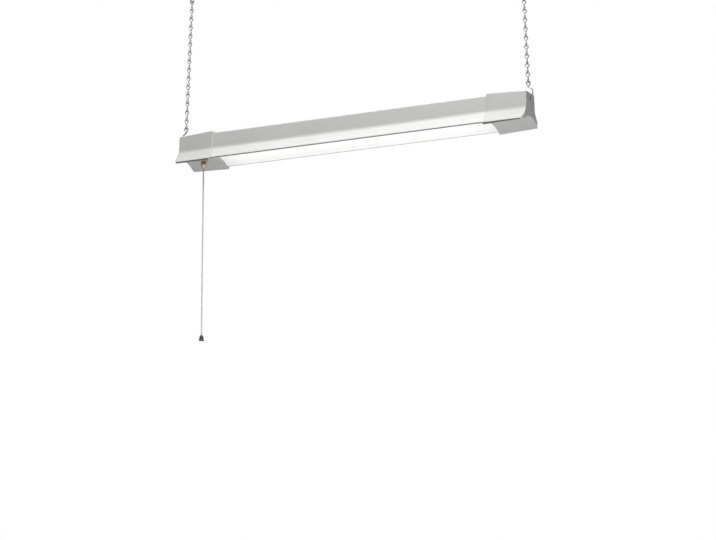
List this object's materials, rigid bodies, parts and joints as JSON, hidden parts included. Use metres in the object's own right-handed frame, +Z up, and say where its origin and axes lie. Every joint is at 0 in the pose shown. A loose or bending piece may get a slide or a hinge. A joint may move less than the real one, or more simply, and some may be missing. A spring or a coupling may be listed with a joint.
{
  "type": "hanging shop light",
  "caption": "Lit strip light with a hat-shaped housing and end caps, hung level on two wire chains, with a brass pull switch and a straight cord with a black bell.",
  "frame": {"origin": "midway between the two ceiling hooks, in the ceiling's plane", "axes": "+X along the light away from its pull switch, +Y towards its back, +Z up"},
  "size_m": [0.61, 0.0692, 0.6037],
  "materials": {
    "housing_paint": "satin",
    "cap_plastic": "matt",
    "diffuser_plastic": "satin, lit from behind",
    "zinc_wire": "bright zinc",
    "screw_steel": "bright zinc",
    "brass_plain": "satin",
    "brass_dark": "satin",
    "bell_black": "satin",
    "cord_fibre": "braided",
    "grommet_rubber": "matt",
    "tray_paint": "gloss white",
    "board_white": "white solder mask",
    "chip_phosphor": "smooth",
    "driver_plastic": "matt",
    "circuit_green": "solder mask",
    "ferrite_tape": "tape over dark ferrite",
    "capacitor_sleeve": "shrink sleeve",
    "choke_copper": "enamelled copper",
    "terminal_plastic": "natural",
    "switch_black": "matt",
    "drum_plastic": "natural",
    "lead_brown": "smooth",
    "lead_blue": "smooth",
    "lead_black": "smooth",
    "lead_red": "smooth",
    "lead_green": "smooth"
  },
  "bodies": {
    "ceiling_hooks": {"ceiling_hook_left": "zinc_wire", "ceiling_hook_right": "zinc_wire"},
    "top_links": {"top_link_left": "zinc_wire", "top_link_right": "zinc_wire"},
    "left_chain": {"chain_links_left": "zinc_wire"},
    "left_hook": {"wire_hook_left": "zinc_wire"},
    "right_hook": {"wire_hook_right": "zinc_wire"},
    "right_chain": {"chain_links_right": "zinc_wire"},
    "pull": {"pull_rod": "cord_fibre", "pull_cord": "cord_fibre", "cord_knot": "cord_fibre", "pull_bell": "bell_black"},
    "drum": {"switch_drum": "drum_plastic"},
    "light": {"housing": "housing_paint", "end_cap_left": "cap_plastic", "end_cap_right": "cap_plastic", "cap_screws_left": "screw_steel", "cap_screws_right": "screw_steel", "diffuser": "diffuser_plastic", "mounting_tray": "tray_paint", "led_board": "board_white", "led_chips": "chip_phosphor", "driver_base": "driver_plastic", "driver_cover": "driver_plastic", "driver_board": "circuit_green", "driver_transformer": "ferrite_tape", "driver_capacitors": "capacitor_sleeve", "driver_choke": "choke_copper", "driver_screws": "screw_steel", "terminal_block": "terminal_plastic", "terminal_screws": "screw_steel", "earth_tag": "screw_steel", "earth_screw": "screw_steel", "earth_lead": "lead_green", "driver_lead_live": "lead_brown", "driver_lead_neutral": "lead_blue", "switch_lead_feed": "lead_brown", "switch_lead_return": "lead_black", "led_lead_positive": "lead_red", "led_lead_negative": "lead_black", "cable_grommet": "grommet_rubber", "switch_case": "switch_black", "switch_cover": "switch_black", "switch_bushing": "brass_dark", "switch_washer": "brass_plain", "switch_nut": "brass_plain", "switch_ring_nut": "brass_plain", "switch_axle": "screw_steel", "switch_contacts": "brass_plain", "switch_spring": "screw_steel"}
  },
  "joints": [
    {"name": "swing", "type": "hinge", "parent": "ceiling_hooks", "child": "top_links", "pos_m": [0, 0, -0.01663], "axis": [1, 0, 0], "range_deg": [-20, 20]},
    {"name": "sway", "type": "hinge", "parent": "top_links", "child": "left_chain", "pos_m": [-0.29002, 0, -0.03262], "axis": [0, 1, 0], "range_deg": [-10, 10]},
    {"name": "left_hook_turn", "type": "hinge", "parent": "left_chain", "child": "left_hook", "pos_m": [-0.297, 0, -0.23248], "axis": [0, 1, 0], "range_deg": [-10, 10]},
    {"name": "roll", "type": "hinge", "parent": "left_hook", "child": "light", "pos_m": [0, 0, -0.25656], "axis": [1, 0, 0], "range_deg": [-25, 25]},
    {"name": "right_hook_turn", "type": "hinge", "parent": "light", "child": "right_hook", "pos_m": [0, 0, -0.25656], "axis": [1, 0, 0], "range_deg": [-25, 25]},
    {"name": "right_chain_turn", "type": "hinge", "parent": "right_hook", "child": "right_chain", "pos_m": [0.297, 0, -0.23248], "axis": [0, 1, 0], "range_deg": [-10, 10]},
    {"name": "cord_pull", "type": "slide", "parent": "light", "child": "pull", "axis": [0, 0, -1], "range_m": [0, 0.008], "stiffness_N_per_m": 600},
    {"name": "drum_turn", "type": "hinge", "parent": "light", "child": "drum", "pos_m": [-0.2581, 0, -0.27186], "axis": [0, -1, 0], "range_deg": [0, 92]}
  ],
  "couplings": [
    {"joint": "left_hook_turn", "follows": "sway", "ratio": -0.9765},
    {"joint": "right_chain_turn", "follows": "sway", "ratio": 0.9765},
    {"joint": "right_hook_turn", "follows": "roll", "ratio": -1},
    {"joint": "drum_turn", "follows": "cord_pull", "rad_per_m": 200}
  ]
}
